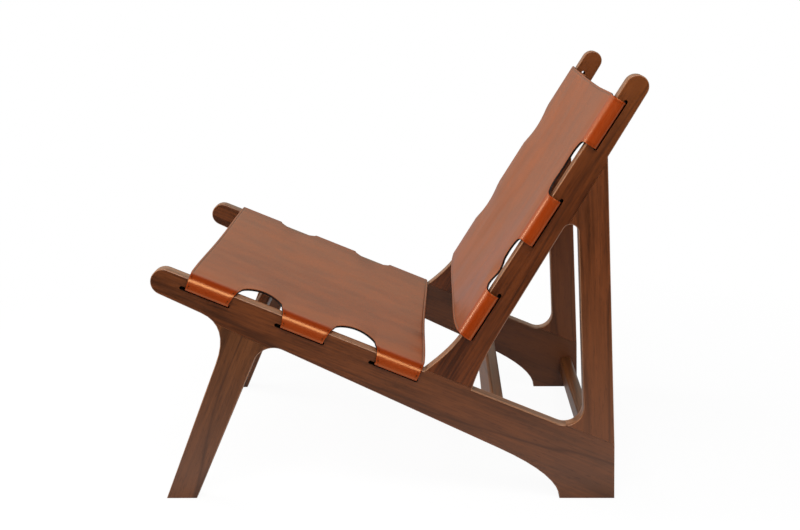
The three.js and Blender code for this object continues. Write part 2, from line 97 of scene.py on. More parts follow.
# %% [markdown]
# ## Small helpers for materials
# Colours are written as the hex values that a colour picker shows, and one function turns them into the
# linear values that the renderer works in. Another adds a node, sets it up and links it: a value that is
# a node itself stands for that node's first output. Nodes could be linked by hand in Blender's editor, but
# written this way each material below reads as a list of what it is made of.

# %% Helpers for colours and nodes
def linear(code):
    channels = [int(code[place:place + 2], 16) / 255 for place in (1, 3, 5)]
    return [c / 12.92 if c <= 0.04045 else ((c + 0.055) / 1.055) ** 2.4 for c in channels] + [1.0]


def set_inputs(tree, node, inputs):
    for name, value in dict(inputs).items():
        if isinstance(value, bpy.types.Node):
            value = value.outputs[0]
        if isinstance(value, bpy.types.NodeSocket):
            tree.links.new(value, node.inputs[name])
        else:
            node.inputs[name].default_value = value


def add_node(tree, kind, inputs=(), **settings):
    node = tree.nodes.new(kind)
    for name, value in settings.items():
        setattr(node, name, value)
    set_inputs(tree, node, inputs)
    return node


def new_material(name):
    material = bpy.data.materials.new(name)
    material.use_nodes = True
    tree = material.node_tree
    return material, tree, tree.nodes["Principled BSDF"]


print("plain walnut brown is", [round(v, 3) for v in linear("#5f3a28")])

# %% [markdown]
# ## Walnut
# The frames are solid walnut, planed, sanded and oiled. The eye reads it by broad light and dark bands,
# thin dark growth lines in long curves, fine fibres along the grain and short dark pores. Wrapping a
# picture of a board round each member would stretch it at the edges. Noise on Object coordinates runs
# through the piece as grain runs through wood, so it is used here, turned to the member's length and drawn
# out along it. Folding a slow noise back on itself gives growth lines that wander as in a real board.

# %% Figure and dark marks of walnut
BAND = 95 * MM  # width over which the growth lines wander
CLOUD = 38.46 * MM  # soft light and dark patches
FIBRE = 4 * MM  # finer on real walnut, drawn this coarse so that it shows in the picture
PORE = 1.4 * MM
DRAWN_OUT, FIBRE_DRAWN_OUT = 0.09, 0.045  # scale along the grain, so marks are 11 or 22 times as long
LINES = 7.0  # growth lines in one rise of the slow noise


def walnut_figure(tree, board):
    slow = add_node(tree, "ShaderNodeMapping", {"Vector": board, "Scale": (1.0, DRAWN_OUT, 1.0)})
    wander = add_node(tree, "ShaderNodeTexNoise", {
        "Vector": slow, "Scale": 1 / BAND, "Detail": 2.0, "Roughness": 0.4})
    rings = add_node(tree, "ShaderNodeMath", {0: wander, 1: LINES}, operation="MULTIPLY")
    ring = add_node(tree, "ShaderNodeMath", {0: rings, 1: 0.5}, operation="PINGPONG")
    cloud = add_node(tree, "ShaderNodeTexNoise", {"Vector": slow, "Scale": 1 / CLOUD, "Detail": 3.0})
    lengthwise = add_node(tree, "ShaderNodeMapping", {
        "Vector": board, "Scale": (1.0, FIBRE_DRAWN_OUT, 1.0)})
    fibres = add_node(tree, "ShaderNodeTexNoise", {
        "Vector": lengthwise, "Scale": 1 / FIBRE, "Detail": 4.0, "Roughness": 0.6})
    figure = add_node(tree, "ShaderNodeMath", {0: ring, 1: 0.12}, operation="MULTIPLY")
    figure = add_node(tree, "ShaderNodeMath", {0: fibres, 1: 0.8, 2: figure}, operation="MULTIPLY_ADD")
    figure = add_node(tree, "ShaderNodeMath", {0: cloud, 1: 0.6, 2: figure}, operation="MULTIPLY_ADD")
    tone = add_node(tree, "ShaderNodeMapRange", {"Value": figure, "From Min": 0.57, "From Max": 0.87})
    return tone, ring, cloud, fibres


def walnut_dark_marks(tree, board, ring, cloud):
    line = add_node(tree, "ShaderNodeMapRange", {
        "Value": ring, "From Max": 0.08, "To Min": 0.9, "To Max": 0.0})
    line = add_node(tree, "ShaderNodeMath", {0: line, 1: cloud}, operation="MULTIPLY")
    pore_place = add_node(tree, "ShaderNodeMapping", {"Vector": board, "Scale": (1.0, DRAWN_OUT, 1.0)})
    pores = add_node(tree, "ShaderNodeTexNoise", {"Vector": pore_place, "Scale": 1 / PORE, "Detail": 1.0})
    pores = add_node(tree, "ShaderNodeMapRange", {
        "Value": pores, "From Min": 0.6, "From Max": 0.75, "To Max": 0.4})
    return add_node(tree, "ShaderNodeMath", {0: line, 1: pores}, operation="MAXIMUM")


print("walnut: growth lines wander over", round(BAND / MM), "mm, fibres", round(FIBRE / MM), "mm wide")

# %% [markdown]
# The edges of a board differ from its face: they show the year rings as straight layers. They are also
# made paler than the face, a painted reflection of the bright backdrop that they catch at a low angle, and
# the eased corners get a still paler painted highlight. A texture could mark them out, but the side frames
# are flat boards that face along X, so the surface normal's X already tells the three apart.

# %% Edges of a walnut board
LAYER = 4 * MM  # year rings as the edges of a board show them
# paler colour of the eased corners, a painted highlight
ARRIS_HIGHLIGHT_COLOUR = "#9a6c4c"
ARRIS_TURN = 0.7  # the normal's X halfway round an eased corner


def walnut_edges(tree, place, board, face_colour, edge):
    facing = add_node(tree, "ShaderNodeSeparateXYZ", {"Vector": place.outputs["Normal"]})
    side = add_node(tree, "ShaderNodeMath", {0: facing.outputs["X"]}, operation="ABSOLUTE")
    # painted reflection: faces that don't face along X are made paler; the layers are the real year rings
    edge_sheen_mask = add_node(tree, "ShaderNodeMapRange", {"Value": side, "From Min": 0.9, "From Max": 0.25})
    layer_place = add_node(tree, "ShaderNodeMapping", {"Vector": board, "Scale": (1.0, 0.004, 0.05)})
    layers = add_node(tree, "ShaderNodeTexNoise", {
        "Vector": layer_place, "Scale": 1 / LAYER, "Detail": 1.0})
    layers = add_node(tree, "ShaderNodeMapRange", {
        "Value": layers, "From Min": 0.4, "From Max": 0.58, "To Min": 0.3, "To Max": 0.9})
    edge_sheen_mask = add_node(tree, "ShaderNodeMath", {0: edge_sheen_mask, 1: layers}, operation="MULTIPLY")
    edged = add_node(tree, "ShaderNodeMix", {
        0: edge_sheen_mask, 6: face_colour, 7: linear(edge)}, data_type="RGBA")
    off_arris = add_node(tree, "ShaderNodeMath", {0: side, 1: ARRIS_TURN}, operation="SUBTRACT")
    off_arris = add_node(tree, "ShaderNodeMath", {0: off_arris}, operation="ABSOLUTE")
    # painted highlight along the eased corners, where the normal's X is near ARRIS_TURN
    arris_highlight = add_node(tree, "ShaderNodeMapRange", {
        "Value": off_arris, "From Min": 0.1, "From Max": 0.25, "To Min": 0.7, "To Max": 0.0})
    return add_node(tree, "ShaderNodeMix", {
        0: arris_highlight, 6: edged.outputs[2], 7: linear(ARRIS_HIGHLIGHT_COLOUR)}, data_type="RGBA").outputs[2]


print("year rings on the edges are", round(LAYER / MM), "mm apart")

# %% [markdown]
# Five boards were cut, so there are five materials from one function. Each has its own grain direction,
# its own place in the noise and its own colours, and it drifts slowly to another brown along its length. On
# the seat rails, front legs and rear posts that drift makes them paler towards their lower ends, which
# paints in light thrown up from the white floor; on the back rails it is paler and more orange towards the
# top. The oil leaves a satin gloss that is a little broken by the fibres.

# %% Five cuts of walnut
def walnut(name, turned, pith, early, late, edge, drift):
    material, tree, shader = new_material(name)
    place = add_node(tree, "ShaderNodeTexCoord")
    board = add_node(tree, "ShaderNodeMapping", {
        "Vector": place.outputs["Object"], "Rotation": turned, "Location": pith})
    tone, ring, cloud, fibres = walnut_figure(tree, board)
    wood = add_node(tree, "ShaderNodeMix", {0: tone, 6: linear(late), 7: linear(early)}, data_type="RGBA")
    along = add_node(tree, "ShaderNodeSeparateXYZ", {"Vector": board})
    # towards the floor this drift is painted light, thrown up from the white floor
    drift_start, drift_end, drift_colour = drift
    drifted = add_node(tree, "ShaderNodeMapRange", {
        "Value": along.outputs["Y"], "From Min": drift_start, "From Max": drift_end, "To Max": 0.55})
    wood = add_node(tree, "ShaderNodeMix", {
        0: drifted, 6: wood.outputs[2], 7: linear(drift_colour)}, data_type="RGBA")
    wood = walnut_edges(tree, place, board, wood.outputs[2], edge)
    dark = walnut_dark_marks(tree, board, ring, cloud)
    wood = add_node(tree, "ShaderNodeMix", {0: dark, 6: wood, 7: linear("#241208")}, data_type="RGBA")
    gloss = add_node(tree, "ShaderNodeMapRange", {"Value": fibres, "To Min": 0.28, "To Max": 0.38})
    relief = add_node(tree, "ShaderNodeBump", {"Height": fibres, "Strength": 0.1, "Distance": 0.2 * MM})
    set_inputs(tree, shader, {
        "Base Color": wood.outputs[2], "Roughness": gloss, "Normal": relief,
        "IOR": 1.5, "Specular IOR Level": 0.38})
    return material


def grain(degrees_up):
    return (math.radians(-degrees_up), 0.0, 0.0)


# pale colour of the frames' edges, a painted reflection of the backdrop
EDGE_SHEEN = "#92674a"
CUTS = {
    "seat_rail": (grain(-22.6), (-0.25, 0.1, 0.02), "#61300f", "#3a1a05", EDGE_SHEEN, (-0.2, 0.42, "#5e3a24")),
    "front_leg": (grain(67.4), (-0.2, 0.3, 0.26), "#603413", "#3e1f07", EDGE_SHEEN, (0.5, 0.2, "#5e3a26")),
    "back_rail": (grain(58.7), (-0.23, 0.5, -0.08), "#5b2906", "#351502", EDGE_SHEEN, (1.1, 1.3, "#713a10")),
    "rear_post": (grain(92.65), (-0.2, 0.7, 0.5), "#643110", "#421e06", EDGE_SHEEN, (1.1, 0.88, "#6a3d20")),
    "stretcher": ((0.0, 0.0, math.radians(90)), (0.1, 0.2, 0.3), "#5c3213", "#3d1e09", "#6b3f20",
                  (-0.2, 0.6, "#553015")),
}
WALNUT = {member: walnut(f"walnut_{member}", *cut) for member, cut in CUTS.items()}
print(len(WALNUT), "cuts of walnut")

# %% [markdown]
# The slots are routed across the grain, and their walls lie deep in shade, so that each slot reads as a
# dark line. Shadow alone would leave them brown, so they get a nearly black material: painted shade.

# %% Slot walls in painted shade
def slot_shade():
    material, tree, shader = new_material("walnut_slot_painted_shade")
    place = add_node(tree, "ShaderNodeTexCoord")
    marks = add_node(tree, "ShaderNodeTexNoise", {
        "Vector": place.outputs["Object"], "Scale": 1 / FIBRE, "Detail": 3.0})
    # painted shade: the slot walls are nearly black, with faint marks
    colour = add_node(tree, "ShaderNodeMix", {
        0: marks, 6: linear("#0c0503"), 7: linear("#1a0c06")}, data_type="RGBA")
    set_inputs(tree, shader, {
        "Base Color": colour.outputs[2], "Roughness": 0.9, "Specular IOR Level": 0.1})
    return material


SLOT_SHADE = slot_shade()
print("slot walls are", SLOT_SHADE.name)

# %% [markdown]
# ## Side frames and bars
# Each side frame is glued up from a seat rail, a front leg, a back rail and a rear post, and the bars stand
# between the frames. They could be drawn again as curves with a bevel, but their shapes are right in the
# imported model. A copy with its corners joined lets the rounded edges shade smoothly, while a Weighted
# Normal modifier keeps the flat faces flat.

# %% Walnut members
WELD = 0.005 * MM
FLAT = math.radians(0.2)
SHARP = math.radians(48)


def merged_copy(node, name):
    mesh = frame["nodes"][node].data.copy()
    mesh.name = name
    piece = bpy.data.objects.new(name, mesh)
    bpy.context.collection.objects.link(piece)
    work = bmesh.new()
    work.from_mesh(mesh)
    bmesh.ops.remove_doubles(work, verts=work.verts, dist=WELD)
    bmesh.ops.dissolve_degenerate(work, edges=work.edges, dist=WELD)
    bmesh.ops.dissolve_limit(work, angle_limit=FLAT, verts=[], edges=work.edges)
    work.to_mesh(mesh)
    work.free()
    mesh.shade_smooth()
    mesh.set_sharp_from_angle(angle=SHARP)
    flat_faces = piece.modifiers.new("flat_faces", "WEIGHTED_NORMAL")
    flat_faces.keep_sharp = True
    flat_faces.weight = 100
    return piece


members = [f"{side}_{member}" for side in ("left", "right")
           for member in ("seat_rail", "front_leg", "back_rail", "rear_post")]
bars = [f"{place}_stretcher" for place in ("front", "middle", "rear")]
for node in members + bars:
    piece = merged_copy(node, f"{node}_walnut")
    piece.data.materials.clear()
    piece.data.materials.append(WALNUT[node.split("_", 1)[1]])
    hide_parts(node)
    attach(piece, "root")
print(len(members), "frame members and", len(bars), "bars in walnut")

# %% [markdown]
# ## Beech for the hidden joinery
# Loose tenons, dowels and the rods in the hems are plain turned or milled beech, pale and straight, with
# short dark flecks. Hardly any of it shows, so one stretched noise is enough, but it isn't left bare,
# because the chair may be seen from below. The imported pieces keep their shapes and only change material.

# %% Beech
def beech_wood():
    material, tree, shader = new_material("planed_beech")
    place = add_node(tree, "ShaderNodeTexCoord")
    stretch = add_node(tree, "ShaderNodeMapping", {
        "Vector": place.outputs["Object"], "Scale": (1.0, 0.15, 0.3)})
    flecks = add_node(tree, "ShaderNodeTexNoise", {"Vector": stretch, "Scale": 1 / PORE, "Detail": 3.0})
    colour = add_node(tree, "ShaderNodeMix", {
        0: flecks, 6: linear("#d6b58a"), 7: linear("#a97f55")}, data_type="RGBA")
    gloss = add_node(tree, "ShaderNodeMapRange", {"Value": flecks, "To Min": 0.45, "To Max": 0.65})
    set_inputs(tree, shader, {"Base Color": colour.outputs[2], "Roughness": gloss})
    return material


BEECH = beech_wood()
joinery = [name for name in frame["nodes"] if "tenon" in name or "dowel" in name]
for name in joinery:
    for material_slot in frame["nodes"][name].material_slots:
        material_slot.link = "OBJECT"
        material_slot.material = BEECH
print(len(joinery), "tenons and dowels in beech")

# %% [markdown]
# ## Saddle leather
# The slings are vegetable-tanned saddle leather, 3.6 mm thick, dyed through to an orange brown and waxed.
# Its grain side is close and smooth, with faint streaks along the hide and soft blotches of dye. The tabs
# are redder from where they reach the rails. Object coordinates would cut straight through the rolls, so
# the pattern follows two UV maps in metres that the slings get below: "hide" is the place on the flat hide,
# and "rim" is the distance from the nearest edge and from the tab's shoulder.

# %% Dye of the leather
STREAK = 48 * MM  # soft streaks of dye, along the length of the hide
BLOTCH = 71.43 * MM
TAB_COLOUR_FROM = (286 * MM, 302 * MM)  # from the middle of the hide, where the redder tabs begin


def leather_dye(tree, streaks_along, blotches, across, light, dark, tab_colour):
    streaks = add_node(tree, "ShaderNodeTexNoise", {
        "Vector": streaks_along, "Scale": 1 / STREAK, "Detail": 4.0, "Roughness": 0.55})
    blend = add_node(tree, "ShaderNodeMath", {0: blotches, 1: 1.4, 2: streaks}, operation="MULTIPLY_ADD")
    tone = add_node(tree, "ShaderNodeMapRange", {"Value": blend, "From Min": 0.8, "From Max": 1.6})
    dyed = add_node(tree, "ShaderNodeMix", {0: tone, 6: linear(dark), 7: linear(light)}, data_type="RGBA")
    towards_tabs = add_node(tree, "ShaderNodeMapRange", {
        "Value": across, "From Min": TAB_COLOUR_FROM[0], "From Max": TAB_COLOUR_FROM[1], "To Max": 0.75})
    return add_node(tree, "ShaderNodeMix", {
        0: towards_tabs, 6: dyed.outputs[2], 7: linear(tab_colour)}, data_type="RGBA").outputs[2]


print("leather streaks", round(STREAK / MM), "mm wide")

# %% [markdown]
# A line is creased in along the hide's ends and the sides of the tabs, and the ends of the tabs' stitching
# show as dark dots. They could be cut into the mesh, but they are finer than its grid, so the "rim" map
# places them. One mask then darkens the colour and presses the surface in.

# %% Creased lines and stitch holes
CREASE = 4.0  # millimetres from the edge to the creased line
CREASE_HALF = 2.0 * MM
STITCHES = (20.0, 36.0)  # millimetres from a tab's shoulder to its stitches
STITCH_HOLE = (0.8 * MM, 1.6 * MM)  # radius of the hole and of its soft edge


def pressed_marks(tree):
    rim = add_node(tree, "ShaderNodeUVMap", uv_map="rim")
    inward = add_node(tree, "ShaderNodeSeparateXYZ", {"Vector": rim})
    off_line = add_node(tree, "ShaderNodeMath", {
        0: inward.outputs["X"], 1: CREASE * MM}, operation="SUBTRACT")
    off_line = add_node(tree, "ShaderNodeMath", {0: off_line}, operation="ABSOLUTE")
    firm = add_node(tree, "ShaderNodeMapRange", {
        "Value": inward.outputs["Y"], "From Max": 3 * MM, "To Min": 0.8, "To Max": 0.25})
    pressed = add_node(tree, "ShaderNodeMapRange", {
        "Value": off_line, "From Max": CREASE_HALF, "To Min": firm, "To Max": 0.0})
    for stitch in STITCHES:
        off_dot = add_node(tree, "ShaderNodeVectorMath", {
            0: rim, 1: (CREASE * MM, stitch * MM, 0.0)}, operation="DISTANCE")
        dot = add_node(tree, "ShaderNodeMapRange", {
            "Value": off_dot.outputs["Value"], "From Min": STITCH_HOLE[0], "From Max": STITCH_HOLE[1],
            "To Min": 1.0, "To Max": 0.0})
        pressed = add_node(tree, "ShaderNodeMath", {0: pressed, 1: dot}, operation="MAXIMUM")
    return pressed


print("creased line", CREASE, "mm in from the edge,", len(STITCHES), "stitch holes on each side of a tab")

# %% [markdown]
# A hide never dries quite flat. Slow waves, too low to see from the side, show as patches where the waxed
# surface mirrors more or less of the white backdrop. The waves are a bump of their own under the pores and
# pressed marks, and they fade out before the tabs, which are pulled tight over the rails.

# %% Relief of the leather
SWELL = 75 * MM  # length of the slow waves
SWELL_HEIGHT = 4.5 * MM
TAUT = (262 * MM, 292 * MM)  # from the middle of the hide, over which the waves fade out
GRAIN = 2.2 * MM  # leather pores are finer, drawn this coarse so that they show


def leather_relief(tree, hide, waves_along, across, pressed):
    pores = add_node(tree, "ShaderNodeTexVoronoi", {"Vector": hide, "Scale": 1 / GRAIN})
    height = add_node(tree, "ShaderNodeMath", {0: pores, 1: 0.008}, operation="MULTIPLY")
    height = add_node(tree, "ShaderNodeMath", {0: height, 1: pressed}, operation="SUBTRACT")
    slack = add_node(tree, "ShaderNodeMapRange", {
        "Value": across, "From Min": TAUT[0], "From Max": TAUT[1], "To Min": 1.0, "To Max": 0.0})
    swell = add_node(tree, "ShaderNodeTexNoise", {"Vector": waves_along, "Scale": 1 / SWELL, "Detail": 1.0})
    swell = add_node(tree, "ShaderNodeMath", {0: swell, 1: 0.5}, operation="SUBTRACT")
    swell = add_node(tree, "ShaderNodeMath", {0: swell, 1: slack}, operation="MULTIPLY")
    waves = add_node(tree, "ShaderNodeBump", {"Height": swell, "Distance": SWELL_HEIGHT})
    return add_node(tree, "ShaderNodeBump", {
        "Height": height, "Strength": 0.1, "Distance": 0.4 * MM, "Normal": waves})


print("slow waves", round(SWELL / MM), "mm long")

# %% [markdown]
# Three finishes of the same hide come from one function. The grain side is waxed to a clear gloss, so it
# turns pale where it mirrors the backdrop at a low angle. The flesh side is paler and dull, and the cut
# edges are burnished and near black, a colour that also paints in the shade these thin edges lie in.

# %% Leather: grain side, flesh side and cut edges
def leather(name, light, dark, tab_colour, rough, shine, tint):
    material, tree, shader = new_material(name)
    hide = add_node(tree, "ShaderNodeUVMap", uv_map="hide")
    long_way = add_node(tree, "ShaderNodeMapping", {
        "Vector": hide, "Scale": (1.0, 0.5, 1.0), "Rotation": (0.0, 0.0, 0.2)})
    blotches = add_node(tree, "ShaderNodeTexNoise", {"Vector": hide, "Scale": 1 / BLOTCH, "Detail": 4.0})
    across = add_node(tree, "ShaderNodeSeparateXYZ", {"Vector": hide})
    across = add_node(tree, "ShaderNodeMath", {0: across.outputs["X"]}, operation="ABSOLUTE")
    dyed = leather_dye(tree, long_way, blotches, across, light, dark, tab_colour)
    pressed = pressed_marks(tree)
    colour = add_node(tree, "ShaderNodeMix", {0: pressed, 6: dyed, 7: linear("#2c0f04")}, data_type="RGBA")
    gloss = add_node(tree, "ShaderNodeMapRange", {
        "Value": blotches, "From Min": 0.3, "From Max": 0.7,
        "To Min": rough - 0.015, "To Max": rough + 0.02})
    relief = leather_relief(tree, hide, long_way, across, pressed)
    set_inputs(tree, shader, {
        "Base Color": colour.outputs[2], "Roughness": gloss, "Normal": relief,
        "IOR": 1.6, "Specular IOR Level": shine, "Specular Tint": linear(tint)})
    return material


GRAIN_SIDE = leather("saddle_leather_grain_side", "#873909", "#6e2b07", "#802602", 0.292, 1.0, "#ffbf80")
FLESH_SIDE = leather("saddle_leather_flesh_side", "#a86a44", "#8a5230", "#8f5632", 0.85, 0.15, "#ffffff")
# near-black cut edges: burnish, and painted shade on these thin edges
CUT_EDGE = leather("saddle_leather_burnish_and_shade_edge", "#20110b", "#120806", "#160b08", 0.6, 0.2, "#ffffff")
print("leather finishes:", GRAIN_SIDE.name, FLESH_SIDE.name, CUT_EDGE.name)

# %% [markdown]
# ## The slings
# A sling is one flat hide with three tabs on each side. Each tab rolls over the rail, runs down its outside
# face and goes back in through the rail's slot, where its hem closes round a rod. Cloth simulation could
# drape it, but leather this stiff hangs nearly straight, and its tabs have to meet their slots exactly. So
# it is a grid in two directions: rows follow the rail, and columns follow the section from the middle of
# the chair out to the hem. Lengths are in millimetres here: x across the chair, s along the rail, and n
# square to the rail's upper edge.

# %% Section of the slings, in millimetres
REST = 288.5  # where the panel passes the rail's rounded inner edge
SHOULDER = 292.0  # where the tabs start
HIDE = 3.6  # thickness
CROWN = 5.8  # stiff leather stands this high over the rail, at the middle of its thickness
ARCH = 2.0  # and higher by this much before it reaches the rail
ARCH_START = 228.0
ROLL_START = 295.5
ROLL_OUT = 320.0
ROLL_FOOT = -10.5
ROLL_FULLNESS = 0.92  # below 1, the roll is fuller than an ellipse and clears the rail's corner
SLOT_BEND = 4.2  # radius of the bend into the slot
STRAP_DEPTH = 2.1  # from the slot's upper wall to the middle of the leather
STRAP_END = 289.0
ROD_X = 277.8
ROD_BEND = 6.1  # radius of the hem round the rod
HEM_ANGLES = (math.radians(58), math.radians(325))
print("rolls reach", ROLL_OUT + HIDE / 2, "mm from the middle of the chair")

# %% Sizes of the two slings, in millimetres
SEAT = {
    "name": "seat_sling",
    "origin": Vector((0, -372.05, 399.31)),  # on the rail's upper edge, from where s is counted
    "run": Vector((0, 0.9232, -0.3843)),
    "out": Vector((0, 0.3843, 0.9232)),
    "start": 38.0,  # s of the first tab in its slot
    "tab": 75.0,
    "pitch": 166.75,
    "slot": 16.25,  # from the rail's upper edge to the slot's upper wall
    "stitched": True,
    "flare": (9.5, 9.5),  # how much wider a tab is at its shoulder, before and after
    "flank": (38.0, 1.0),  # length over which the flare runs out, and how hollow that line is
    "turn": 0.0,  # angle at which a scallop's curve leaves the tab
    "scallop": 26.0,  # how deep the scallops are cut
    "wave": (1.7, 1.0),  # how pointed the scallops are, right side and left side
    "ends": (3.0, 4.0),  # how far the hide goes past the first and the last tab
    "sag": (5.0, 9.0, 7.0),  # of the middle, at the first end, halfway and at the last end
    "slip": (0.0, 0.0),  # of the middle along the rails, at the first and the last end
    "lift": (-2.0, 3.5),  # of the scallops' edges, right side and left side
    "ease": (3.0, 3.0),  # how close to the bottom of a scallop that lift stays
    "droop": (0.0, 1.0, 0.0),  # a dip in the left edge: its s, half length and depth
}
BACK = {
    "name": "back_sling",
    "origin": Vector((0, 367.4, 700.1)),
    "run": Vector((0, -0.5314, -0.8471)),
    "out": Vector((0, -0.8471, 0.5314)),
    "start": 31.0, "tab": 85.0, "pitch": 185.4, "slot": 13.25, "stitched": False,
    "flare": (10.0, 14.0), "flank": (24.0, 2.6),
    "turn": 0.7, "scallop": 8.5, "wave": (1.0, 1.0), "ends": (2.0, 3.0),
    "sag": (8.0, 14.0, 3.0), "slip": (4.5, 14.0),
    "lift": (-3.0, -1.6), "ease": (1.3, 3.0), "droop": (369.0, 27.0, 4.4),
}
for sling in (SEAT, BACK):
    sling["length"] = 2 * sling["pitch"] + sling["tab"]
    sling["gap"] = sling["pitch"] - sling["tab"]
    print(sling["name"], "is", round(sling["length"]), "mm along the rails")

# %% Paint shade on the walls of the slots that the tabs go through
SLOT_OPEN = 6.5
SLOT_SPARE = 11.0  # the slots are at most this much longer than the tabs, at each end
NEAR_WALL = 0.2
shaded = 0
for sling, rail in ((SEAT, "seat_rail"), (BACK, "back_rail")):
    for side in ("left", "right"):
        mesh = bpy.data.objects[f"{side}_{rail}_walnut"].data
        # the second material paints shade on the slot walls
        mesh.materials.append(SLOT_SHADE)
        for face in mesh.polygons:
            spot = face.center / MM - sling["origin"]
            along = spot.dot(sling["run"]) - sling["start"] + SLOT_SPARE
            depth = -spot.dot(sling["out"]) - sling["slot"]
            at_tab = 0 < along < sling["length"] + 2 * SLOT_SPARE
            at_tab = at_tab and along % sling["pitch"] < sling["tab"] + 2 * SLOT_SPARE
            in_slot = -NEAR_WALL < depth < SLOT_OPEN + NEAR_WALL and abs(face.normal.x) < 0.5
            if at_tab and in_slot:
                face.material_index = 1
                shaded += 1
print(shaded, "faces of slot wall stained dark")

# %% [markdown]
# Rows stand close together at the scallops and at the creased ends, where the hide's edge curves most. A
# row belongs to a tab or to a scallop, and in a scallop it also says how deep the cut is there.

# %% Rows along the rail
TAB_ROWS = 12
SCALLOP_ROWS = 28
CREASE_ROWS = (-1.6, -0.8, 0.0, 0.8, 1.6)


def flares(sling, tab):
    before = sling["flare"][0] if tab > 0 else sling["ends"][0]
    after = sling["flare"][1] if tab < 2 else sling["ends"][1]
    return before, after


def sling_rows(sling):
    half = (sling["gap"] - sum(sling["flare"])) / 2
    first = sling["turn"]
    rows = []
    for tab in range(3):
        before, after = flares(sling, tab)
        low = sling["start"] + tab * sling["pitch"] - before
        high = sling["start"] + tab * sling["pitch"] + sling["tab"] + after
        steps = [low + (high - low) * step / TAB_ROWS for step in range(TAB_ROWS + 1)]
        if tab == 0:
            steps += [low + CREASE + shift for shift in CREASE_ROWS]
        if tab == 2:
            steps += [high - CREASE + shift for shift in CREASE_ROWS]
        rows += [(s, tab, 0.0) for s in sorted(steps)]
        for step in range(1, SCALLOP_ROWS if tab < 2 else 1):
            angle = first + (math.pi - 2 * first) * step / SCALLOP_ROWS
            deep = (math.sin(angle) - math.sin(first)) / (1 - math.sin(first))
            along = high + half * (1 - math.cos(angle) / math.cos(first))
            rows.append((along, None, deep))
    return rows


print(len(sling_rows(SEAT)), "rows in the seat sling,", len(sling_rows(BACK)), "in the back sling")

# %% [markdown]
# The tab's path starts at the shoulder, goes over the roll and down to the slot, bends in through the rail
# and ends in the hem round the rod. A short curve with two handles eases the strap into the hem.

# %% Path of a tab
ROLL_STEPS, BEND_STEPS, HEM_STEPS = 14, 6, 20
STRAP_COLUMNS = (307.0, 300.0, 294.0, STRAP_END)


def into_hem(strap_n):
    first = HEM_ANGLES[0]
    meet = Vector((ROD_X + ROD_BEND * math.cos(first), strap_n + ROD_BEND * math.sin(first)))
    handles = [Vector((STRAP_END, strap_n)), Vector((STRAP_END - 3.0, strap_n)),
               meet - 2.6 * Vector((-math.sin(first), math.cos(first))), meet]
    spots = []
    for t in (0.25, 0.5, 0.75):
        weights = ((1 - t) ** 3, 3 * t * (1 - t) ** 2, 3 * t * t * (1 - t), t ** 3)
        spots.append(tuple(sum((w * h for w, h in zip(weights, handles)), Vector((0, 0)))))
    return spots


def tab_path(sling):
    path = [(SHOULDER + (ROLL_START - SHOULDER) / 2, CROWN)]
    for step in range(ROLL_STEPS + 1):
        angle = math.pi / 2 * (1 - step / ROLL_STEPS)
        out = max(math.cos(angle), 0.0) ** ROLL_FULLNESS
        rise = math.sin(angle) ** ROLL_FULLNESS
        path.append((ROLL_START + (ROLL_OUT - ROLL_START) * out,
                     ROLL_FOOT + (CROWN - ROLL_FOOT) * rise))
    bend_x = ROLL_OUT - SLOT_BEND
    bend_n = SLOT_BEND - STRAP_DEPTH - sling["slot"]
    for share in (0.25, 0.5, 0.75):
        path.append((ROLL_OUT, ROLL_FOOT + (bend_n - ROLL_FOOT) * share))
    for step in range(BEND_STEPS + 1):
        angle = -math.pi / 2 * step / BEND_STEPS
        path.append((bend_x + SLOT_BEND * math.cos(angle), bend_n + SLOT_BEND * math.sin(angle)))
    strap_n = bend_n - SLOT_BEND
    path += [(x, strap_n) for x in STRAP_COLUMNS] + into_hem(strap_n)
    first, last = HEM_ANGLES
    for step in range(HEM_STEPS + 1):
        angle = first + (last - first) * step / HEM_STEPS
        path.append((ROD_X + ROD_BEND * math.cos(angle), strap_n + ROD_BEND * math.sin(angle)))
    return path


print(len(tab_path(SEAT)), "steps from the shoulder to the end of the hem")

# %% [markdown]
# The hide is too stiff to lie flat on the rails. It stands a little over them, hangs lower in the middle,
# curls at the scallops, and slips down the back under its own weight, so that the back's ends are bowed. A
# line is creased in along the two ends.

# %% Height of the panel over the rails
LIFT_OVER = (150.0, 270.0)  # x over which a scallop's lift grows
DROOP_OVER = (230.0, 282.0)
GROOVE_DEPTH, GROOVE_HALF = 0.55, 1.3


def smooth(low, high, value):
    share = min(max((value - low) / (high - low), 0.0), 1.0)
    return share * share * (3 - 2 * share)


def panel_height(sling, x, s, cut):
    share = (s - sling["start"]) / sling["length"]
    at_first, halfway, at_last = sling["sag"]
    sag = (at_first * (1 - share) * (1 - 2 * share) + 4 * halfway * share * (1 - share)
           + at_last * share * (2 * share - 1))
    across = min(abs(x) / REST, 1.0)
    height = CROWN - sag * (1 - across * across) ** 2
    if abs(x) > ARCH_START:
        height += ARCH * (1 - ((abs(x) - ARCH_START) / (SHOULDER - ARCH_START)) ** 2)
    else:
        height += ARCH * smooth(0.0, ARCH_START, abs(x))
    side = 0 if x < 0 else 1
    height += sling["lift"][side] * cut ** sling["ease"][side] * smooth(*LIFT_OVER, abs(x))
    droop_s, reach, droop = sling["droop"]
    height -= droop * max(0.0, 1 - ((s - droop_s) / reach) ** 2) ** 2 * smooth(*DROOP_OVER, x)
    from_first = s - sling["start"] + sling["ends"][0]
    from_last = sling["start"] + sling["length"] + sling["ends"][1] - s
    off_crease = abs(min(from_first, from_last) - CREASE)
    return height - GROOVE_DEPTH * max(0.0, 1 - off_crease / GROOVE_HALF)


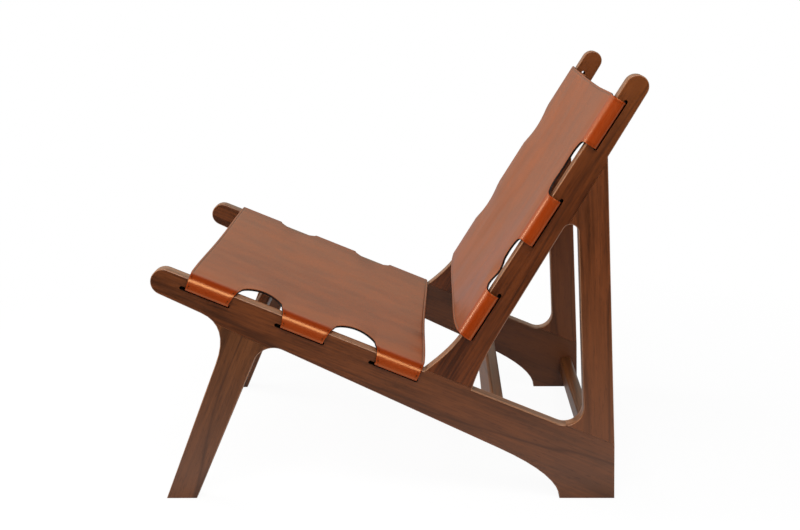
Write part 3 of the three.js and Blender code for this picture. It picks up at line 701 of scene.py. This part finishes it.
def sling_point(sling, x, n, s):
    share = (s - sling["start"]) / sling["length"]
    slip = sling["slip"][0] + (sling["slip"][1] - sling["slip"][0]) * share
    across = min(abs(x) / REST, 1.0)
    along = s + slip * (1 - across * across)
    spot = sling["origin"] + sling["run"] * along + sling["out"] * n
    return Vector((x, spot.y, spot.z)) * MM


print("seat panel stands", round(panel_height(SEAT, 0.0, 240.0, 0.0), 1), "mm over the rails at its middle")

# %% [markdown]
# The panel is made first, row by row. Its middle columns are straight and the outer ones follow the
# scallops. Each corner's place on the flat hide and its distance from the edge are kept for the UV maps.

# %% Panel of a sling
STEADY = 180.0  # columns inside this are straight, those outside follow the scallops
COLUMNS = 12


def panel_columns(sling, cuts):
    inner = [STEADY * step / COLUMNS for step in range(COLUMNS + 1)]
    right, left = (SHOULDER - sling["scallop"] * cut - STEADY for cut in cuts)
    line = [-STEADY - right * step / COLUMNS for step in range(COLUMNS, 0, -1)]
    line += [-x for x in reversed(inner[1:])] + inner
    return line + [STEADY + left * step / COLUMNS for step in range(1, COLUMNS + 1)]


def panel_grid(work, sling, rows, place, rim):
    grid = []
    for s, tab, deep in rows:
        cuts = [max(deep, 0.0) ** wave for wave in sling["wave"]]
        made = []
        for x in panel_columns(sling, cuts):
            height = panel_height(sling, x, s, cuts[0 if x < 0 else 1])
            vert = work.verts.new(sling_point(sling, x, height, s))
            place[vert] = (x * MM, s * MM)
            rim[vert] = (min(s - rows[0][0], rows[-1][0] - s) * MM, 0.0)
            made.append(vert)
        grid.append(made)
    return grid


def join_rows(work, grid, outward):
    for low, high in zip(grid, grid[1:]):
        for a, b, c, d in zip(low, low[1:], high[1:], high):
            work.faces.new((a, b, c, d) if outward else (d, c, b, a))


print(len(panel_columns(SEAT, (0.0, 0.0))), "columns across a panel")

# %% [markdown]
# A tab is a strip that starts from the panel's own corners, so that roll and panel are one sheet. It is
# wider at the shoulder and narrows to its slot. The left top tab of the back is wider inside the rail,
# where it covers its end of the slot and lets no light through.

# %% Tabs of a sling
SLOT_COVER = 5.0
INSIDE_RAIL = 312.0
UNSTITCHED = 60.0  # a place on the rim map past all stitches


def tab_strip(work, sling, tab, side, mine, place, rim):
    first, last = mine[0][0], mine[-1][0]
    tab_start = sling["start"] + tab * sling["pitch"]
    covers = sling is BACK and side > 0 and tab == 0
    strip = []
    for s, made in mine:
        share = (s - first) / (last - first)
        line = [made[-1] if side > 0 else made[0]]
        rim[line[0]] = (min(s - first, last - s) * MM, 0.0)
        length = SHOULDER
        x_before, n_before = SHOULDER, panel_height(sling, SHOULDER, s, 0.0)
        for x, n in tab_path(sling):
            length += math.hypot(x - x_before, n - n_before)
            x_before, n_before = x, n
            wide = max(1 - (length - SHOULDER) / sling["flank"][0], 0.0) ** sling["flank"][1]
            low, high = (flare * wide for flare in flares(sling, tab))
            if covers and n < ROLL_FOOT and x < INSIDE_RAIL:
                low += SLOT_COVER
            across = low + sling["tab"] + high
            spot = tab_start - low + across * share
            vert = work.verts.new(sling_point(sling, side * x, n, spot))
            place[vert] = (side * length * MM, spot * MM)
            stitch = length - SHOULDER if sling["stitched"] else UNSTITCHED
            rim[vert] = (across * min(share, 1 - share) * MM, stitch * MM)
            line.append(vert)
        strip.append(line)
    return strip, length


print("a tab starts", SHOULDER, "mm from the middle of the chair")

# %% [markdown]
# The sheet gets its thickness from Solidify, which can also give the cut edges and the underside their own
# materials. A small Bevel wears the edges round, as a real edge is after burnishing.

# %% Sheet of a sling
def sling_sheet(sling):
    work = bmesh.new()
    hide_map = work.loops.layers.uv.new("hide")
    rim_map = work.loops.layers.uv.new("rim")
    place, panel_rim, tab_rim = {}, {}, {}
    rows = sling_rows(sling)
    grid = panel_grid(work, sling, rows, place, panel_rim)
    join_rows(work, grid, True)
    panel_faces = len(work.faces)
    for tab in range(3):
        mine = [(s, made) for (s, owner, deep), made in zip(rows, grid) if owner == tab]
        for side in (-1, 1):
            strip, length = tab_strip(work, sling, tab, side, mine, place, tab_rim)
            join_rows(work, strip, side > 0)
    for number, face in enumerate(work.faces):
        rim = panel_rim if number < panel_faces else tab_rim
        for loop in face.loops:
            loop[hide_map].uv = place[loop.vert]
            loop[rim_map].uv = rim[loop.vert]
    bmesh.ops.recalc_face_normals(work, faces=work.faces)
    work.faces.ensure_lookup_table()
    mid_panel = work.faces[len(grid[0]) // 2]
    if mid_panel.normal.dot(sling["out"]) < 0:
        bmesh.ops.reverse_faces(work, faces=work.faces)
    mesh = bpy.data.meshes.new(f"{sling['name']}_hide")
    work.to_mesh(mesh)
    area = sum(face.calc_area() for face in work.faces)
    work.free()
    return mesh, area, 2 * length * MM


def hide_piece(mesh):
    mesh.shade_smooth()
    for material in (GRAIN_SIDE, FLESH_SIDE, CUT_EDGE):
        mesh.materials.append(material)
    piece = bpy.data.objects.new(mesh.name, mesh)
    bpy.context.collection.objects.link(piece)
    thickness = piece.modifiers.new("hide_thickness", "SOLIDIFY")
    thickness.thickness = HIDE * MM
    thickness.offset = 0.0
    thickness.use_even_offset = False
    thickness.material_offset = 1
    thickness.material_offset_rim = 2
    worn = piece.modifiers.new("worn_edges", "BEVEL")
    worn.width = 0.7 * MM
    worn.segments = 2
    worn.limit_method = "ANGLE"
    worn.angle_limit = math.radians(60)
    worn.use_clamp_overlap = True
    return piece


for sling in (SEAT, BACK):
    mesh, area, width = sling_sheet(sling)
    piece = hide_piece(mesh)
    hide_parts(sling["name"])
    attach(piece, "root")
    print(piece.name, "cut", round(width, 3), "x", round(sling["length"] * MM, 3), "m,",
          "area", round(area, 4), "m2")

# %% [markdown]
# ## Rods in the hems
# A short beech rod lies in each hem, on the inner face of the rail, so that the tab can't pull out of its
# slot. Six cylinders could be added and turned by hand, but the six rods of a sling are alike. So one rod
# is made along a line, with its ends eased, and Geometry Nodes put it at six places.

# %% Tree for the rods
ROD_END, ROD_END_SIZE = 0.021, 0.76  # share of the length that is eased, and the size left at its end


def tree_with_inputs(name, inputs):
    tree = bpy.data.node_groups.new(name, "GeometryNodeTree")
    tree.interface.new_socket("Geometry", in_out="INPUT", socket_type="NodeSocketGeometry")
    sockets = {label: tree.interface.new_socket(label, in_out="INPUT", socket_type=kind)
               for label, kind in inputs.items()}
    tree.interface.new_socket("Geometry", in_out="OUTPUT", socket_type="NodeSocketGeometry")
    return tree, tree.nodes.new("NodeGroupInput"), tree.nodes.new("NodeGroupOutput"), sockets


def rod_tree():
    tree, given, result, sockets = tree_with_inputs("hem_rods", {
        "Radius": "NodeSocketFloat", "Length": "NodeSocketFloat", "Along": "NodeSocketVector",
        "Wood": "NodeSocketMaterial"})
    along = add_node(tree, "ShaderNodeVectorMath", {0: given.outputs["Along"]}, operation="NORMALIZE")
    reach = add_node(tree, "ShaderNodeMath", {0: given.outputs["Length"], 1: 0.5}, operation="MULTIPLY")
    end = add_node(tree, "ShaderNodeVectorMath", {0: along, "Scale": reach}, operation="SCALE")
    start = add_node(tree, "ShaderNodeVectorMath", {0: end, "Scale": -1.0}, operation="SCALE")
    line = add_node(tree, "GeometryNodeCurvePrimitiveLine", {"Start": start, "End": end})
    steps = add_node(tree, "GeometryNodeResampleCurve", {"Curve": line, "Count": 49})
    share = add_node(tree, "GeometryNodeSplineParameter")
    rest = add_node(tree, "ShaderNodeMath", {0: 1.0, 1: share.outputs["Factor"]}, operation="SUBTRACT")
    from_end = add_node(tree, "ShaderNodeMath", {
        0: share.outputs["Factor"], 1: rest}, operation="MINIMUM")
    eased = add_node(tree, "ShaderNodeMapRange", {
        "Value": from_end, "From Max": ROD_END, "To Min": ROD_END_SIZE, "To Max": 1.0})
    ring = add_node(tree, "GeometryNodeCurvePrimitiveCircle", {
        "Resolution": 24, "Radius": given.outputs["Radius"]})
    rod = add_node(tree, "GeometryNodeCurveToMesh", {
        "Curve": steps, "Profile Curve": ring, "Scale": eased, "Fill Caps": True})
    spots = add_node(tree, "GeometryNodeMeshToPoints", {"Mesh": given.outputs["Geometry"]})
    placed = add_node(tree, "GeometryNodeInstanceOnPoints", {"Points": spots, "Instance": rod})
    real = add_node(tree, "GeometryNodeRealizeInstances", {"Geometry": placed})
    wood = add_node(tree, "GeometryNodeSetMaterial", {
        "Geometry": real, "Material": given.outputs["Wood"]})
    set_inputs(tree, result, {0: wood})
    return tree, sockets


ROD_TREE, ROD_SOCKETS = rod_tree()
print("rod tree takes", ", ".join(ROD_SOCKETS))

# %% Rods by Geometry Nodes
ROD_RADIUS = 4.0
ROD_SHORTER = 4.0  # than the tab


def made_by_nodes(name, spots, tree, sockets, values):
    mesh = bpy.data.meshes.new(name)
    mesh.from_pydata([tuple(spot) for spot in spots], [], [])
    maker = bpy.data.objects.new(name, mesh)
    bpy.context.collection.objects.link(maker)
    modifier = maker.modifiers.new("nodes", "NODES")
    modifier.node_group = tree
    for label, value in values.items():
        modifier[sockets[label].identifier] = value
    graph = bpy.context.evaluated_depsgraph_get()
    made = bpy.data.meshes.new_from_object(maker.evaluated_get(graph))
    maker.modifiers.remove(modifier)
    made.name = name
    maker.data = made
    bpy.data.meshes.remove(mesh)
    return maker


for sling in (SEAT, BACK):
    label = sling["name"].split("_")[0]
    spots = []
    for side in (-1, 1):
        for tab in range(3):
            s = sling["start"] + tab * sling["pitch"] + sling["tab"] / 2
            n = -sling["slot"] - STRAP_DEPTH
            spot = sling["origin"] + sling["run"] * s + sling["out"] * n
            spots.append(Vector((side * ROD_X, spot.y, spot.z)) * MM)
    rods = made_by_nodes(f"{label}_hem_rods", spots, ROD_TREE, ROD_SOCKETS, {
        "Radius": ROD_RADIUS * MM, "Length": (sling["tab"] - ROD_SHORTER) * MM,
        "Along": tuple(sling["run"]), "Wood": BEECH})
    rods.data.shade_smooth()
    rods.data.set_sharp_from_angle(angle=math.radians(50))
    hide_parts(*[f"{side}_{label}_rod_{tab}" for side in ("left", "right") for tab in (1, 2, 3)])
    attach(rods, "root")
    print(rods.name, "has", len(rods.data.polygons), "faces")

# %% [markdown]
# ## Floor
# The chair stands on white paper that runs up into a white backdrop, with no visible horizon. Lighting
# real paper until it is white would also overlight the chair. So Light Path makes the floor mostly white
# to the camera, with a soft shadow left in it. Reflections see paper that ends a little in front of the
# chair and is darker underneath it, a painted shadow of the chair.

# %% Floor
SHADOW_PART = (0.94, 1.0)  # how much of the floor is plain white to the camera, near the chair and away
SHADOW_REACH = (0.6, 1.5)  # metres from the chair's middle
PAPER_END = (0.42, 1.1)  # x over which the paper ends towards the camera
# painted shadow of the chair on the paper that reflections see
CHAIR_SHADOW_X = (0.3, 0.42)  # x over which it turns darker under the chair


def studio_floor():
    material, tree, shader = new_material("white_studio_floor")
    set_inputs(tree, shader, {"Base Color": linear("#f2f2f2"), "Roughness": 0.9, "Specular IOR Level": 0.1})
    ray = add_node(tree, "ShaderNodeLightPath")
    place = add_node(tree, "ShaderNodeTexCoord")
    away = add_node(tree, "ShaderNodeVectorMath", {0: place.outputs["Object"]}, operation="LENGTH")
    seen = add_node(tree, "ShaderNodeMapRange", {
        "Value": away.outputs["Value"], "From Min": SHADOW_REACH[0], "From Max": SHADOW_REACH[1],
        "To Min": SHADOW_PART[0], "To Max": SHADOW_PART[1]})
    seen = add_node(tree, "ShaderNodeMath", {
        0: seen, 1: ray.outputs["Is Camera Ray"]}, operation="MULTIPLY")
    mirrored = add_node(tree, "ShaderNodeMath", {
        0: seen, 1: ray.outputs["Is Glossy Ray"]}, operation="MAXIMUM")
    spot = add_node(tree, "ShaderNodeSeparateXYZ", {"Vector": place.outputs["Object"]})
    paper = add_node(tree, "ShaderNodeMapRange", {
        "Value": spot.outputs["X"], "From Min": PAPER_END[0], "From Max": PAPER_END[1],
        "To Min": 1.1, "To Max": 0.03})
    # painted shadow: reflections see the paper darker under the chair
    under = add_node(tree, "ShaderNodeMapRange", {
        "Value": spot.outputs["X"], "From Min": CHAIR_SHADOW_X[0], "From Max": CHAIR_SHADOW_X[1],
        "To Min": 0.34, "To Max": 1.0})
    paper = add_node(tree, "ShaderNodeMath", {0: paper, 1: under}, operation="MULTIPLY")
    bright = add_node(tree, "ShaderNodeMath", {
        0: paper, 1: ray.outputs["Is Camera Ray"]}, operation="MAXIMUM")
    white = add_node(tree, "ShaderNodeEmission", {"Color": (1.0, 1.0, 1.0, 1.0), "Strength": bright})
    both = add_node(tree, "ShaderNodeMixShader", {0: mirrored, 1: shader, 2: white})
    set_inputs(tree, tree.nodes["Material Output"], {"Surface": both})
    return material


FLOOR = 8  # metres from the middle to each side
floor_mesh = bpy.data.meshes.new("floor")
corners = [(-FLOOR, -FLOOR, 0), (FLOOR, -FLOOR, 0), (FLOOR, FLOOR, 0), (-FLOOR, FLOOR, 0)]
floor_mesh.from_pydata(corners, [], [(0, 1, 2, 3)])
floor_mesh.materials.append(studio_floor())
floor = bpy.data.objects.new("floor", floor_mesh)
bpy.context.collection.objects.link(floor)
print("floor is", 2 * FLOOR, "m square")

# %% [markdown]
# ## World
# To the camera the world is plain white. To reflections it is a backdrop behind the chair, brighter towards
# the front, under a dark ceiling, and the room on the camera's side is dark. That gives waxed leather and
# oiled wood their looks: what mirrors the backdrop turns pale, and what mirrors the room keeps its full
# colour. A picture of a studio could do this too, but a few ranges of the ray's direction are enough.

# %% World
BACKDROP_RISE = (0.18, 0.44)  # height of the ray's direction
CEILING_START = (0.47, 0.62)
ROOM_START = (-0.3, 0.1)  # towards the camera's side
FRONT_START = (-0.3, 0.05)  # towards the chair's front
DARK_ROOM = 0.05
FILL = 0.12  # light from all round on the rough part of each surface

world = bpy.data.worlds.new("white_studio")
bpy.context.scene.world = world
world.use_nodes = True
sky = world.node_tree
rays = add_node(sky, "ShaderNodeLightPath")
direction = add_node(sky, "ShaderNodeTexCoord")
towards = add_node(sky, "ShaderNodeSeparateXYZ", {"Vector": direction.outputs["Object"]})
backdrop = add_node(sky, "ShaderNodeMapRange", {
    "Value": towards.outputs["Z"], "From Min": BACKDROP_RISE[0], "From Max": BACKDROP_RISE[1],
    "To Min": 0.36, "To Max": 1.0})
for part, (start, end), before, after in (
        ("Z", CEILING_START, 1.0, DARK_ROOM), ("Y", FRONT_START, 1.35, 1.0),
        ("X", ROOM_START, 1.0, DARK_ROOM)):
    share = add_node(sky, "ShaderNodeMapRange", {
        "Value": towards.outputs[part], "From Min": start, "From Max": end,
        "To Min": before, "To Max": after})
    backdrop = add_node(sky, "ShaderNodeMath", {0: backdrop, 1: share}, operation="MULTIPLY")
fill = add_node(sky, "ShaderNodeMix", {0: rays.outputs["Is Glossy Ray"], 2: FILL, 3: backdrop})
seen_white = add_node(sky, "ShaderNodeMath", {
    0: rays.outputs["Is Camera Ray"], 1: rays.outputs["Is Transmission Ray"]}, operation="MAXIMUM")
strength = add_node(sky, "ShaderNodeMix", {0: seen_white, 2: fill, 3: 1.0})
tint = add_node(sky, "ShaderNodeMix", {
    0: rays.outputs["Is Glossy Ray"], 6: (1.0, 1.0, 1.0, 1.0), 7: linear("#fff1dc")}, data_type="RGBA")
set_inputs(sky, sky.nodes["Background"], {"Color": tint.outputs[2], "Strength": strength})
print("white backdrop, with a dark room on the camera's side for reflections")

# %% [markdown]
# ## Lamps
# One bare lamp would throw hard shadows, so the light comes from wide panels. A long strip above the
# camera's side draws a soft bright line along each roll of the seat, and a narrow lamp in front does so on
# the rolls of the back. Two wide lamps, filtered so that they leave no glare, light the panels from the
# front and the side frame from the camera's side.

# %% Lamps
def soft_lamp(name, place, aim, size, power):
    data = bpy.data.lights.new(name, "AREA")
    data.shape = "RECTANGLE"
    data.size, data.size_y = size
    data.energy = power
    lamp = bpy.data.objects.new(name, data)
    lamp.location = place
    lamp.rotation_euler = (Vector(aim) - Vector(place)).to_track_quat("-Z", "Y").to_euler()
    bpy.context.collection.objects.link(lamp)
    return lamp


CHAIR_MIDDLE = (0.0, 0.1, 0.4)
soft_lamp("strip_lamp", (1.7, 0.2, 2.7), (0.3, -0.1, 0.35), (3.0, 1.3), 82)
soft_lamp("narrow_front_lamp", (-1.3, -2.8, 1.4), (0.0, 0.1, 0.5), (0.5, 1.6), 16)
for filtered in (
        soft_lamp("front_lamp", (-0.8, -3.0, 1.9), CHAIR_MIDDLE, (3.0, 2.4), 124),
        soft_lamp("camera_side_lamp", (3.0, 0.2, 1.4), CHAIR_MIDDLE, (2.0, 1.6), 29)):
    filtered.visible_glossy = False
bpy.context.scene.view_settings.view_transform = "Standard"
print("four soft lamps")
